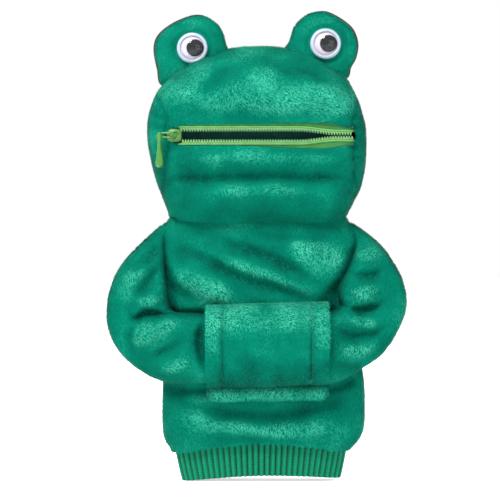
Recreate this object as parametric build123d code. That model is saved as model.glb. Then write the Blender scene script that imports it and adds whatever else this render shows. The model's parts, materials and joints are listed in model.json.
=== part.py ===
"""Plush frog hand puppet: ribbed cuff, torso with a front pocket, folded arms, zip-mouthed head, two ears.

Frame, in millimetres: +Z up, the front of the puppet faces -Y, +X is to the right as seen from the front.
The origin is the centre of the cuff's opening, where the hand goes in.
"""
from build123d import *
import os
from math import atan2, cos, degrees, hypot, radians, sin

os.makedirs("parts", exist_ok=True)

# ---------------------------------------------------------------- driving dimensions
WALL = 2.4            # thickness of a plush panel, pile included
MATE = 0.5            # gap between two soft bodies that move against each other

# Hollow forms are stacks of rounded rectangles: height, half width, half depth, corner radius.
CUFF = [(0, 44.5, 10, 9.5), (9, 46.5, 10.5, 10), (20, 50, 12, 11)]
TORSO = [(20, 50, 12, 11), (27, 57.5, 13.5, 12.5), (50, 58.5, 14, 13), (75, 55, 14, 13), (100, 51, 14, 13),
         (125, 50, 13.5, 12.5), (140, 50, 12, 11), (148.5, 46, 8.5, 7.5), (160, 45.5, 8.5, 7.5)]
HEAD = [(152, 51, 13, 10), (158, 54, 18, 12), (170, 58.5, 21.5, 12), (188, 63, 22.5, 11), (212, 63.5, 22.5, 11),
        (224, 59, 21.5, 12), (234, 49, 17, 12), (242, 34, 11, 9), (249.5, 20, 7, 6), (253, 11, 4, 3)]
HEAD_CROWN_Z = 230    # above this the head closes in, so its inner form also sits lower
GUSSET_X = 53.5       # side gussets start here, at the ends of the zip

# Pocket band on the torso's front
POCKET_X = (-30.0, 37.5)
POCKET_Z = (55.5, 102.0)
POCKET_FRONT_Y = -39.9
POCKET_CORNER_R = 7
POCKET_STRIP_Z = 46   # the folded lower edge reaches down to here
POCKET_STRIP_Y = -16.4

# Arms: joint centres as (x, z) on the left side; the right arm is the mirror image
SHOULDER = (-58.5, 139.5)
BICEP = (-68.0, 112.0)
ELBOW = (-68.0, 85.5)
HAND = (-20.0, 79.0)
SHOULDER_R = 7.5
BICEP_R = 17.5
ELBOW_R = 20.0
FOREARM_R = 17.0
HAND_R = 14.0
UPPER_ARM_Y = (-20.0, 3.0)
UPPER_ARM_ROUND = 6.5
FOREARM_THICKNESS = 19.0
FOREARM_ROUND = 7.5
FOREARM_ELBOW_Y = -13.5   # mid-plane of the forearm at the elbow
FOREARM_HAND_Y = -24.3    # and at the hand, further forward because it lies on the belly
ELBOW_CLOSING = 28        # degrees the elbow closes while the arm swings out, which mitres the forearm's end

# Ears: a round lobe cut off along its base line
EAR_R = 20.5
EAR_X = 38.2
EAR_Z = {"left": 250.9, "right": 252.9}
EAR_BASE_SLOPE = 28.0     # degrees
EAR_BASE_DROP = 6.9       # from the lobe's centre down to its base line
EAR_FRONT_Y = -6.0
EAR_BACK_Y = 2.0
EAR_FELT = 1.8            # thickness of the dark backing
EAR_FELT_PROUD = 0.6      # how far the backing stands out round the edge

# Googly eyes
EYE_X = 38.9
EYE_Z = {"left": 252.4, "right": 254.9}
EYE_R = 9.0
EYE_BASE = 1.4
DOME_RISE = 5.5
DOME_WALL = 0.8
PUPIL_R = 5.0
PUPIL_THICK = 0.9
PUPIL_OFFSET = 1.7        # the loose pupil rests against the rim, to the right
PUPIL_GAP = 0.3

# Zip
ZIP_Z = 200.2             # centre line
ZIP_HALF_GAP = 2.3        # from the centre line to each coil, zip open
COIL_DEPTH = 2.0          # height of a coil row
COIL_PITCH = 1.57
COIL_Y = (-23.2, -21.2)
COIL_X = (-43.6, 53.0)
TAPE_Y = (-21.2, -20.4)
TAPE_IN = 3.3             # tape edge from the centre line
TAPE_OUT = 10.3
TAPE_X = 53.2
LIP_EDGE = 6.1            # plush edges above and below the centre line
SEAT_DEPTH = 11.8         # thinned zone behind the plush edges, where the tapes slide
SEAT_FRONT_Y = -21.4
SLIDER_X = -48.6
SLIDER_LENGTH = 8.6
SLIDER_HEIGHT = 7.6
SLIDER_PLATE = 1.0
SLIDER_FRONT_Y = -24.6
SLIDER_BACK_Y = -19.0
PIN_X = -49.0             # the pull link turns on an upright pin here
PIN_Y = -26.0
PIN_R = 0.6
LINK_EYE_X = -56.8        # and the tab hangs from the link's eye here
TAB_LENGTH = 18.0

# Mouth lining
LINING_X = 54.2
LINING_HALF_HEIGHT = 10.3
LINING_BACK_Y = -6.0
LINING_WALL = 1.0


# ---------------------------------------------------------------- helpers
def stack(sections, grow=0.0):
    """A closed form through rounded rectangles, all grown outwards by the same amount."""
    faces = []
    for z, half_width, half_depth, corner in sections:
        outline = RectangleRounded(2 * (half_width + grow), 2 * (half_depth + grow), max(corner + grow, 0.8))
        faces.append(Pos(0, 0, z) * outline)
    return loft(faces, ruled=True)


def block(low, high):
    """A box between two opposite corners."""
    size = [b - a for a, b in zip(low, high)]
    centre = [(a + b) / 2 for a, b in zip(low, high)]
    return Pos(*centre) * Box(*size)


def slab(outline, y_back, thickness):
    """Extrude an outline drawn as (x, z) forwards from the plane y = y_back."""
    return Plane(origin=(0, y_back, 0), x_dir=(1, 0, 0), z_dir=(0, -1, 0)) * extrude(outline, amount=thickness)


def rod_y(x, z, radius, y_from, y_to):
    """A round rod along Y."""
    length = y_to - y_from
    return Pos(x, (y_from + y_to) / 2, z) * Rot(90, 0, 0) * Cylinder(radius, length)


def rod_z(x, y, radius, z_from, z_to):
    """A round rod along Z."""
    return Pos(x, y, (z_from + z_to) / 2) * Cylinder(radius, z_to - z_from)


def mirrored(shape):
    return mirror(shape, about=Plane.YZ)


def save(name, shape):
    export_step(shape, f"parts/{name}.step")


# ---------------------------------------------------------------- torso and cuff
def make_torso():
    outer = stack(TORSO)
    inner_sections = [(z, w, d, r) for z, w, d, r in TORSO]
    inner_sections[0] = (TORSO[0][0] - 1,) + TORSO[0][1:]
    inner_sections[-1] = (TORSO[-1][0] + 1,) + TORSO[-1][1:]
    shell = outer - stack(inner_sections, -WALL)
    front_half = block((-100, -60, 0), (100, 0, 200))
    save("torso_front_panel", shell & front_half)
    save("torso_back_panel", shell - front_half)
    return outer


def make_cuff():
    inner_sections = list(CUFF)
    inner_sections[0] = (CUFF[0][0] - 1,) + CUFF[0][1:]
    inner_sections[-1] = (CUFF[-1][0] + 1,) + CUFF[-1][1:]
    save("rib_cuff", stack(CUFF) - stack(inner_sections, -WALL))


def make_pocket(torso):
    """A band that arches forward over the hands, open at both ends, with a folded strip along its foot."""
    x0, x1 = POCKET_X
    z0, z1 = POCKET_Z

    def arch(inset, overrun):
        y_front = POCKET_FRONT_Y + inset
        shape = block((x0 - overrun, y_front, z0 + inset), (x1 + overrun, 0, z1 - inset))
        front_edges = shape.edges().filter_by(Axis.X).group_by(Axis.Y)[0]
        return fillet(front_edges, POCKET_CORNER_R - inset)

    band = arch(0, 0) - arch(WALL, 5)
    band += block((x0 + 4, POCKET_STRIP_Y, POCKET_STRIP_Z), (x1 + 1, 0, z0 + 1))
    save("pocket_band", band - torso)


# ---------------------------------------------------------------- head
def make_head():
    outer = stack(HEAD)
    lower = [(z, w, d, r) for z, w, d, r in HEAD if z < HEAD_CROWN_Z]
    lower[0] = (HEAD[0][0] - 1,) + HEAD[0][1:]
    upper = [(z - 2, w, d, r) for z, w, d, r in HEAD if z >= HEAD_CROWN_Z]
    inner = stack(lower + upper[:-1], -WALL)
    shell = outer - inner

    front = block((-GUSSET_X, -60, 100), (GUSSET_X, 0, 300))
    back = block((-GUSSET_X, 0, 100), (GUSSET_X, 60, 300))
    lip_low = ZIP_Z - LIP_EDGE
    lip_high = ZIP_Z + LIP_EDGE
    seat = block((-GUSSET_X, SEAT_FRONT_Y, ZIP_Z - SEAT_DEPTH), (GUSSET_X, -15, ZIP_Z + SEAT_DEPTH))
    face = (shell & front) - seat
    save("head_brow_panel", face & block((-90, -60, lip_high), (90, 10, 300)))
    save("head_chin_panel", face & block((-90, -60, 100), (90, 10, lip_low)))
    save("head_back_panel", shell & back)
    save("head_side_gusset_left", shell & block((-90, -60, 100), (-GUSSET_X, 60, 300)))
    save("head_side_gusset_right", shell & block((GUSSET_X, -60, 100), (90, 60, 300)))

    pouch_low = ZIP_Z - LINING_HALF_HEIGHT
    pouch_high = ZIP_Z + LINING_HALF_HEIGHT
    panel_inner_y = -HEAD[4][2] + WALL
    pouch = block((-LINING_X, panel_inner_y, pouch_low), (LINING_X, LINING_BACK_Y, pouch_high))
    back_edges = pouch.edges().filter_by(Axis.X).group_by(Axis.Y)[-1]
    pouch = fillet(back_edges, 5)
    flange = block((-LINING_X, panel_inner_y, pouch_low - 3.7), (LINING_X, panel_inner_y + LINING_WALL,
                                                                 pouch_high + 3.7))
    hollow = block((-LINING_X + LINING_WALL, -40, pouch_low + LINING_WALL),
                   (LINING_X - LINING_WALL, LINING_BACK_Y - LINING_WALL, pouch_high - LINING_WALL))
    back_edges = hollow.edges().filter_by(Axis.X).group_by(Axis.Y)[-1]
    hollow = fillet(back_edges, 5 - LINING_WALL)
    lining = ((pouch + flange) - hollow) & inner
    save("mouth_lining", lining)

    stuffing_room = stack(lower + upper[:-1], -WALL - 0.2)
    pad = block((-46, -40, pouch_high + 4.2), (46, -4, 239))
    save("brow_stuffing", stuffing_room & pad)


# ---------------------------------------------------------------- ears and eyes
def ear_outline(side, grow=0.0):
    """A round lobe cut off along its sloping base line, corners rounded, drawn as (x, z) on the left side."""
    centre = (-EAR_X, EAR_Z[side])
    keep = Pos(0, 50 - EAR_BASE_DROP - min(grow, 0)) * Rectangle(100, 100)
    lobe = Circle(EAR_R + grow) & keep
    lobe = fillet(lobe.vertices(), 5.0)
    return Pos(*centre) * Rot(0, 0, EAR_BASE_SLOPE) * lobe


def make_ear(side):
    place = (lambda shape: shape) if side == "left" else mirrored
    body = slab(ear_outline(side), EAR_BACK_Y, EAR_BACK_Y - EAR_FRONT_Y)
    body = fillet(body.edges().group_by(Axis.Y)[0], 4.0)
    wadding = slab(ear_outline(side, -2.2), EAR_BACK_Y, EAR_BACK_Y - EAR_FRONT_Y - 2.2)
    wadding = fillet(wadding.edges().group_by(Axis.Y)[0], 2.0)
    felt = slab(ear_outline(side, EAR_FELT_PROUD), EAR_BACK_Y + EAR_FELT, EAR_FELT)
    save(f"{side}_ear_front", place(body - wadding))
    save(f"{side}_ear_wadding", place(wadding))
    save(f"{side}_ear_back", place(felt))


def make_eye(side):
    sign = -1 if side == "left" else 1
    x = sign * EYE_X
    z = EYE_Z[side]
    base_front = EAR_FRONT_Y - EYE_BASE
    save(f"{side}_eye_back", rod_y(x, z, EYE_R, base_front, EAR_FRONT_Y))

    sphere_r = (EYE_R ** 2 + DOME_RISE ** 2) / (2 * DOME_RISE)
    centre_y = base_front - DOME_RISE + sphere_r
    in_front = block((x - 20, -60, z - 20), (x + 20, base_front, z + 20))
    dome = (Pos(x, centre_y, z) * Sphere(sphere_r)) & in_front
    dome -= Pos(x, centre_y, z) * Sphere(sphere_r - DOME_WALL)
    save(f"{side}_eye_dome", dome)

    pupil_back = base_front - PUPIL_GAP
    pupil = rod_y(x + PUPIL_OFFSET, z, PUPIL_R, pupil_back - PUPIL_THICK, pupil_back)
    save(f"{side}_pupil", pupil)


# ---------------------------------------------------------------- zip
def comb(sign):
    """One row of the coil: an outer spine with a tooth at every turn, drawn as (x, z)."""
    x0, x1 = COIL_X
    inner = ZIP_Z + sign * ZIP_HALF_GAP
    outer = ZIP_Z + sign * (ZIP_HALF_GAP + COIL_DEPTH)
    root = outer - sign * 0.7
    points = [(x0, outer)]
    x = x0
    while x + COIL_PITCH <= x1:
        points += [(x, inner), (x + 0.55 * COIL_PITCH, inner), (x + 0.55 * COIL_PITCH, root), (x + COIL_PITCH, root)]
        x += COIL_PITCH
    points += [(x, outer)]
    return make_face(Polyline(*points, close=True))


def make_zip():
    for name, sign in (("upper", 1), ("lower", -1)):
        save(f"zip_coil_{name}", slab(comb(sign), COIL_Y[1], COIL_Y[1] - COIL_Y[0]))
        edge_in = ZIP_Z + sign * TAPE_IN
        edge_out = ZIP_Z + sign * TAPE_OUT
        tape = block((-TAPE_X, TAPE_Y[0], min(edge_in, edge_out)), (TAPE_X, TAPE_Y[1], max(edge_in, edge_out)))
        save(f"zip_tape_{name}", tape)

    half_height = SLIDER_HEIGHT / 2
    outline = Pos(SLIDER_X, ZIP_Z) * RectangleRounded(SLIDER_LENGTH, SLIDER_HEIGHT, 2.2)
    body = slab(outline, SLIDER_FRONT_Y + SLIDER_PLATE, SLIDER_PLATE)
    body += slab(outline, SLIDER_BACK_Y, SLIDER_PLATE)
    nose = SLIDER_X + SLIDER_LENGTH / 2
    body += block((nose - 2.6, SLIDER_FRONT_Y + 0.5, ZIP_Z - 0.8), (nose - 0.4, SLIDER_BACK_Y - 0.5, ZIP_Z + 0.8))
    for sign in (-1, 1):
        rim_a = ZIP_Z + sign * (half_height - 0.8)
        rim_b = ZIP_Z + sign * half_height
        low, high = min(rim_a, rim_b), max(rim_a, rim_b)
        x0 = SLIDER_X - SLIDER_LENGTH / 2 + 2.2
        x1 = SLIDER_X + SLIDER_LENGTH / 2 - 2.2
        body += block((x0, SLIDER_FRONT_Y + 0.5, low), (x1, TAPE_Y[0] - 0.4, high))
    save("zip_slider_body", body)

    crown = rod_z(PIN_X, PIN_Y, PIN_R, ZIP_Z - 2.1, ZIP_Z + 2.1)
    for sign in (-1, 1):
        lug_a = ZIP_Z + sign * 1.35
        lug_b = ZIP_Z + sign * 2.15
        lug = block((PIN_X - 1.5, PIN_Y - 1.4, min(lug_a, lug_b)), (PIN_X + 1.5, SLIDER_FRONT_Y, max(lug_a, lug_b)))
        front_edges = lug.edges().filter_by(Axis.Z).group_by(Axis.Y)[0]
        crown += fillet(front_edges, 1.2)
    save("zip_slider_crown", crown)

    link = rod_z(PIN_X, PIN_Y, 1.2, ZIP_Z - 1.15, ZIP_Z + 1.15)
    link += block((LINK_EYE_X, PIN_Y - 0.4, ZIP_Z - 0.8), (PIN_X, PIN_Y + 0.4, ZIP_Z + 0.8))
    link += rod_y(LINK_EYE_X, ZIP_Z, 1.7, PIN_Y - 0.4, PIN_Y + 0.4)
    link -= rod_z(PIN_X, PIN_Y, PIN_R + 0.1, ZIP_Z - 2, ZIP_Z + 2)
    link -= rod_y(LINK_EYE_X, ZIP_Z, 0.85, PIN_Y - 2, PIN_Y + 2)
    save("zip_pull_link", link)

    tab_outline = make_hull((Pos(LINK_EYE_X, ZIP_Z) * Circle(1.3)
                             + Pos(LINK_EYE_X, ZIP_Z - TAB_LENGTH + 2.3) * Circle(2.4)).edges())
    tab = slab(tab_outline, PIN_Y - 0.7, 1.2)
    tab += rod_y(LINK_EYE_X, ZIP_Z, 0.7, PIN_Y - 1.0, PIN_Y + 1.0)
    tab += rod_y(LINK_EYE_X, ZIP_Z, 1.3, PIN_Y + 0.6, PIN_Y + 1.1)
    save("zip_pull_tab", tab)


# ---------------------------------------------------------------- arms
def upper_arm_form(grow):
    circles = Pos(*SHOULDER) * Circle(SHOULDER_R + grow)
    circles += Pos(*BICEP) * Circle(BICEP_R + grow)
    circles += Pos(*ELBOW) * Circle(ELBOW_R + grow)
    y_front, y_back = UPPER_ARM_Y
    form = slab(make_hull(circles.edges()), y_back + grow, y_back - y_front + 2 * grow)
    flat_faces = form.faces().filter_by(Axis.Y)
    return fillet(flat_faces.edges(), UPPER_ARM_ROUND + grow)


def forearm_form(grow):
    """Drawn square to the front, then turned about the elbow so that the hand lies forward on the belly."""
    reach = HAND[0] - ELBOW[0]
    forward = FOREARM_ELBOW_Y - FOREARM_HAND_Y
    length = hypot(reach, forward)
    circles = Circle(FOREARM_R + grow) + Pos(length, HAND[1] - ELBOW[1]) * Circle(HAND_R + grow)
    half = FOREARM_THICKNESS / 2 + grow
    form = slab(make_hull(circles.edges()), half, 2 * half)
    flat_faces = form.faces().filter_by(Axis.Y)
    form = fillet(flat_faces.edges(), FOREARM_ROUND + grow)
    turn = -degrees(atan2(forward, reach))
    return Pos(ELBOW[0], FOREARM_ELBOW_Y, ELBOW[1]) * Rot(0, 0, turn) * form


def make_arms():
    upper = upper_arm_form(0) - stack(TORSO, MATE)
    upper_core = upper_arm_form(-2.0) - stack(TORSO, MATE + 2)
    elbow_room = rod_y(*ELBOW, ELBOW_R + MATE, -60, 60)
    elbow_room_core = rod_y(*ELBOW, ELBOW_R + MATE + 2, -60, 60)
    fore = forearm_form(0) - elbow_room - stack(TORSO, MATE)
    fore_core = forearm_form(-2.0) - elbow_room_core - stack(TORSO, MATE + 2)
    elbow_axis = Axis((ELBOW[0], 0, ELBOW[1]), (0, 1, 0))
    for quarter in range(5):
        angle = ELBOW_CLOSING * quarter / 4
        fore -= upper_arm_form(MATE).rotate(elbow_axis, angle)
        fore_core -= upper_arm_form(MATE + 2).rotate(elbow_axis, angle)
    for side in ("left", "right"):
        place = (lambda shape: shape) if side == "left" else mirrored
        save(f"{side}_upper_arm_shell", place(upper - upper_core))
        save(f"{side}_upper_arm_stuffing", place(upper_core))
        save(f"{side}_forearm_shell", place(fore - fore_core))
        save(f"{side}_forearm_stuffing", place(fore_core))


def main():
    torso = make_torso()
    make_cuff()
    make_pocket(torso)
    make_head()
    make_zip()
    for side in ("left", "right"):
        make_ear(side)
        make_eye(side)
    make_arms()


main()
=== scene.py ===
"""Looks of the plush frog hand puppet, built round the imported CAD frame.

Shapes are worked out in millimetres in the frame's axes (+Z up, the face looks along -Y) and turned into
metres when a mesh is made. Places are taken from the frame's boxes and joints.
"""
import json
import math

import bpy
import numpy as np
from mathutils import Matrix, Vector, geometry, noise

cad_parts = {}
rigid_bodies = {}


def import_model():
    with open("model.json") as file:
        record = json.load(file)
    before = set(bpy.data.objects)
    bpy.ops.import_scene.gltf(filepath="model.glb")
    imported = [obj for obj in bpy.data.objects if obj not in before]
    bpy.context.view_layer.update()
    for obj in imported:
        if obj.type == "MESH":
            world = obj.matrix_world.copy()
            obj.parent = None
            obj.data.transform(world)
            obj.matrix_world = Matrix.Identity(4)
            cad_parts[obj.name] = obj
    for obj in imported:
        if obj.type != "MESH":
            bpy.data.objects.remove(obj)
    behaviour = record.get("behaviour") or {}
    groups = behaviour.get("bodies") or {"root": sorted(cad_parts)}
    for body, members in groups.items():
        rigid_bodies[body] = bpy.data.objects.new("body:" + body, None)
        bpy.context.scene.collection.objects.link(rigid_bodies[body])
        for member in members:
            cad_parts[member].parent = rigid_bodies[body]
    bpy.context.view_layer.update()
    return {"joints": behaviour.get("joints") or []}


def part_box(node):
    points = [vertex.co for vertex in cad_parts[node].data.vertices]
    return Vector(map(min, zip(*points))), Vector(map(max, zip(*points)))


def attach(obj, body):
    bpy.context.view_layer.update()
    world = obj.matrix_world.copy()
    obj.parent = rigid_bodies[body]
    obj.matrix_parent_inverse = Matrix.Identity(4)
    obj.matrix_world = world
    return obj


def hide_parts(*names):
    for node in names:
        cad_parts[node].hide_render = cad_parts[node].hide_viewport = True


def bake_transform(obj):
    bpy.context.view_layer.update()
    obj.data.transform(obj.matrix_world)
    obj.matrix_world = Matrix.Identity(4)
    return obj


for leftover in list(bpy.data.objects):
    bpy.data.objects.remove(leftover)

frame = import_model()

MM = 0.001


# ================================================================ places taken from the frame, in millimetres
def box_mm(*nodes):
    """Lowest and highest corner of one or several CAD nodes, in millimetres."""
    corners = [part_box(node) for node in nodes]
    low = np.min([np.array(c[0]) for c in corners], axis=0) / MM
    high = np.max([np.array(c[1]) for c in corners], axis=0) / MM
    return low, high


def joint_mm(name):
    """Where a hinge of the frame is, in millimetres."""
    joint = next(j for j in frame["joints"] if j["name"] == name)
    return np.array(joint["pos_m"]) / MM


coil_low, coil_high = box_mm("zip_coil_upper", "zip_coil_lower")
tape_low, tape_high = box_mm("zip_tape_upper", "zip_tape_lower")
pocket_low, pocket_high = box_mm("pocket_band")
cuff_low, cuff_high = box_mm("rib_cuff")
slider_low, slider_high = box_mm("zip_slider_body")
tab_low, tab_high = box_mm("zip_pull_tab")
lining_low, lining_high = box_mm("mouth_lining")

ZIP_Z = (coil_low[2] + coil_high[2]) / 2
CUFF_TOP = cuff_high[2]
ELBOW = {side: joint_mm(f"{side}_elbow_bend") for side in ("left", "right")}
EYE = {side: joint_mm(f"{side}_pupil_roll") for side in ("left", "right")}
SIGN = {"left": -1.0, "right": 1.0}


# ================================================================ outlines and distances
def at(origin, points):
    """Points given as (x, z) offsets from an origin, as an array in the frame."""
    return np.array(points, float) + np.array(origin, float)


def catmull(points, closed, spacing):
    """A smooth curve through the points, resampled at an even spacing."""
    p = np.array(points, float)
    if closed:
        p = np.vstack([p[-1], p, p[0], p[1]])
    else:
        p = np.vstack([2 * p[0] - p[1], p, 2 * p[-1] - p[-2]])
    t = np.linspace(0, 1, 12, endpoint=False)[:, None]
    runs = []
    for a, b, c, d in zip(p[:-3], p[1:-2], p[2:-1], p[3:]):
        runs.append(0.5 * (2 * b + (c - a) * t + (2 * a - 5 * b + 4 * c - d) * t ** 2
                           + (3 * b - a - 3 * c + d) * t ** 3))
    curve = np.vstack(runs + [p[-2][None]])
    length = np.r_[0, np.cumsum(np.linalg.norm(np.diff(curve, axis=0), axis=1))]
    count = max(3, int(round(length[-1] / spacing)))
    where = np.linspace(0, length[-1], count + 1)
    even = np.stack([np.interp(where, length, curve[:, k]) for k in range(curve.shape[1])], axis=1)
    return even[:-1] if closed else even


def distance_to(points, line, closed=False):
    """Distance from each point to a polyline, and how far along it the nearest point lies, from 0 to 1."""
    a = np.array(line, float)
    b = np.roll(a, -1, axis=0)
    if not closed:
        a, b = a[:-1], b[:-1]
    best = np.full(len(points), 1e9)
    along = np.zeros(len(points))
    for k, (start, end) in enumerate(zip(a, b)):
        run = end - start
        t = np.clip(((points - start) @ run) / max(run @ run, 1e-12), 0, 1)
        gap = np.linalg.norm(points - start - t[:, None] * run, axis=1)
        nearer = gap < best
        best[nearer] = gap[nearer]
        along[nearer] = ((k + t) / len(a))[nearer]
    return best, along


def distance_to_edges(points, starts, ends):
    """Distance from each point to the nearest of a set of edges."""
    best = np.full(len(points), 1e9)
    for start, end in zip(starts, ends):
        run = end - start
        t = np.clip(((points - start) @ run) / max(run @ run, 1e-12), 0, 1)
        best = np.minimum(best, np.linalg.norm(points - start - t[:, None] * run, axis=1))
    return best


def smoothstep(x, low, high):
    t = np.clip((x - low) / (high - low), 0, 1)
    return t * t * (3 - 2 * t)


def stroke(points, line, width, amount, ends=0.38):
    """A soft ridge (positive) or crease (negative) along a line that fades out at both ends."""
    gap, along = distance_to(points, catmull(line, False, 3.0))
    fade = np.clip(np.minimum(along, 1 - along) / ends, 0, 1)
    fade = fade * fade * (3 - 2 * fade)
    return amount * np.exp(-(gap / (width * (0.7 + 0.3 * fade))) ** 2) * (0.12 + 0.88 * fade)


def mound(points, centre, spread_x, spread_z, amount):
    """A broad swelling of the surface."""
    away = ((points[:, 0] - centre[0]) / spread_x) ** 2 + ((points[:, 1] - centre[1]) / spread_z) ** 2
    return amount * np.exp(-away)


def folded(points, folds, mounds=()):
    """Height of a panel's folds and mounds: each one's place, its size and its height or depth."""
    return sum(stroke(points, *fold) for fold in folds) + sum(mound(points, *swelling) for swelling in mounds)


def groove(points, line, width, depth):
    """The mark that a seam presses into the plush."""
    gap, _ = distance_to(points, line)
    return -depth * np.exp(-(gap / width) ** 2)


def lumps(points, size, seed):
    """Smooth random values from -1 to 1, with features of about the given size."""
    return np.array([noise.noise(Vector((p[0] / size, p[1] / size, seed * 7.31))) for p in points])


# ================================================================ soft shapes
class Sheetwork:
    """Corners, triangles and a label for each triangle, in millimetres, with a painted light value for each
    corner: painted highlight on the pile where positive, painted shade where negative.
    """

    def __init__(self, corners, triangles, labels, painted_light=None):
        self.corners = corners
        self.triangles = triangles
        self.labels = labels
        self.painted_light = np.zeros(len(corners)) if painted_light is None else painted_light

    def part(self, *labels):
        """The triangles with these labels, with only the corners that they use."""
        chosen = self.triangles[np.isin(self.labels, labels)]
        used, packed = np.unique(chosen, return_inverse=True)
        return Sheetwork(self.corners[used], packed.reshape(-1, 3), self.labels[np.isin(self.labels, labels)],
                         self.painted_light[used])


def mesh_outline(outline, cuts, spacing):
    """Triangles that fill an outline, finer near its edge and fitted to the cut lines."""
    rim = catmull(outline, True, spacing)
    turn = np.roll(rim, -1, axis=0) - np.roll(rim, 1, axis=0)
    inward = np.stack([-turn[:, 1], turn[:, 0]], axis=1)
    inward /= np.linalg.norm(inward, axis=1)[:, None]
    if area_of(rim) < 0:
        inward = -inward
    loose = []
    for depth in (0.35, 1.1, 2.3, 4.0):
        ring = rim + inward * depth
        gap, _ = distance_to(ring, rim, closed=True)
        loose.append(ring[gap > depth * 0.93])
    low, high = rim.min(axis=0), rim.max(axis=0)
    xs = np.arange(low[0], high[0], spacing)
    zs = np.arange(low[1], high[1], spacing * 0.87)
    grid = np.array([(x + (row % 2) * spacing / 2, z) for row, z in enumerate(zs) for x in xs])
    gap, _ = distance_to(grid, rim, closed=True)
    loose.append(grid[gap > 5.2])
    loose = np.vstack(loose)
    lines = [catmull(cut, False, spacing) for cut in cuts]
    for line in lines:
        gap, _ = distance_to(loose, line)
        loose = loose[gap > spacing * 0.45]
    points = [rim] + lines + [loose]
    edges = []
    start = len(rim)
    for line in lines:
        edges += [(start + k, start + k + 1) for k in range(len(line) - 1)]
        start += len(line)
    flat = [Vector(p) for p in np.vstack(points)]
    corners, _, faces, _, _, _ = geometry.delaunay_2d_cdt(flat, edges, [list(range(len(rim)))], 1, 1e-4)
    return np.array([tuple(c) for c in corners]), np.array(faces), rim


def area_of(loop):
    x, z = loop[:, 0], loop[:, 1]
    return 0.5 * np.sum(x * np.roll(z, -1) - np.roll(x, -1) * z)


def rounded(depth, reach, power=2.1):
    """Thickness profile of a stuffed edge: 0 at the edge, 1 from the reach inwards."""
    return (1 - (1 - np.clip(depth / reach, 0, 1)) ** power) ** (1 / power)


def relax(values, triangles, fixed, rounds):
    """Evens out values over neighbouring corners, keeping the fixed ones."""
    pairs = np.vstack([triangles[:, [0, 1]], triangles[:, [1, 2]], triangles[:, [2, 0]]])
    pairs = np.vstack([pairs, pairs[:, ::-1]])
    degree = np.bincount(pairs[:, 0], minlength=len(values)).astype(float)
    for _ in range(rounds):
        total = np.bincount(pairs[:, 0], weights=values[pairs[:, 1]], minlength=len(values))
        values = np.where(fixed, values, total / np.maximum(degree, 1))
    return values


def pad(outline, middle, front, back, reach, spacing=1.8, cuts=(), open_lines=(), rounds=6):
    """A stuffed form: two sheets that meet along the outline.

    middle gives the place of the seam along Y at (x, z) points. front and back give how far a sheet stands
    from it and the height of its folds; the folds also show in the lie of the pile and set its painted shade,
    darker in creases, and its painted highlight, paler on ridges. Along the open lines the two sheets stay
    apart, as at a sleeve's end.
    """
    points, faces, rim = mesh_outline(outline, cuts, spacing)
    sewn = np.ones(len(rim), bool)
    for line in open_lines:
        gap, _ = distance_to(rim, line)
        sewn &= gap > spacing * 0.8
    both = sewn & np.roll(sewn, -1)
    depth = distance_to_edges(points, rim[both], np.roll(rim, -1, axis=0)[both])
    profile = rounded(depth, reach)
    profile = relax(profile, faces, depth < reach * 0.3, rounds)
    y_middle = middle(points)
    front_base, front_relief = front(points)
    back_base, back_relief = back(points)
    front_y = y_middle - profile * (front_base + front_relief)
    back_y = y_middle + profile * (back_base + back_relief)
    count = len(points)
    back_index = np.where(depth < 0.05, np.arange(count), np.arange(count) + count)
    corners = np.vstack([np.column_stack([points[:, 0], front_y, points[:, 1]]),
                         np.column_stack([points[:, 0], back_y, points[:, 1]])])
    a, b, c = (points[faces[:, k]] for k in range(3))
    clockwise = ((b - a)[:, 0] * (c - a)[:, 1] - (b - a)[:, 1] * (c - a)[:, 0]) < 0
    faces = np.where(clockwise[:, None], faces[:, ::-1], faces)
    triangles = np.vstack([faces, back_index[faces][:, ::-1]])
    labels = np.array(["front"] * len(faces) + ["back"] * len(faces), object)
    return Sheetwork(corners, triangles, labels, np.r_[front_relief, back_relief])


def normals_of(corners, triangles):
    a, b, c = (corners[triangles[:, k]] for k in range(3))
    face = np.cross(b - a, c - a)
    total = np.zeros_like(corners)
    for k in range(3):
        np.add.at(total, triangles[:, k], face)
    return total / np.maximum(np.linalg.norm(total, axis=1), 1e-9)[:, None]


# ================================================================ pile
PILE_LENGTH = 1.7
PILE_WIDTH = 0.40
# painted shade deep in the pile: the skin and the tufts' roots get a darker tone than their tips, which are
# painted paler as sheen
SKIN_TONE, ROOT_TONE, MIDDLE_TONE, TIP_TONE = 0.46, 0.47, 0.54, 0.61
FOLD_SHADE = 0.088      # painted highlight and shade: how much paler the pile is painted on a ridge and darker in a crease, per millimetre
CARD_SHARE = 0.25       # how much a tuft is shaded by its own lie and not by the skin under it
DENSITY = 3.0    # tufts in a square millimetre


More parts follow.
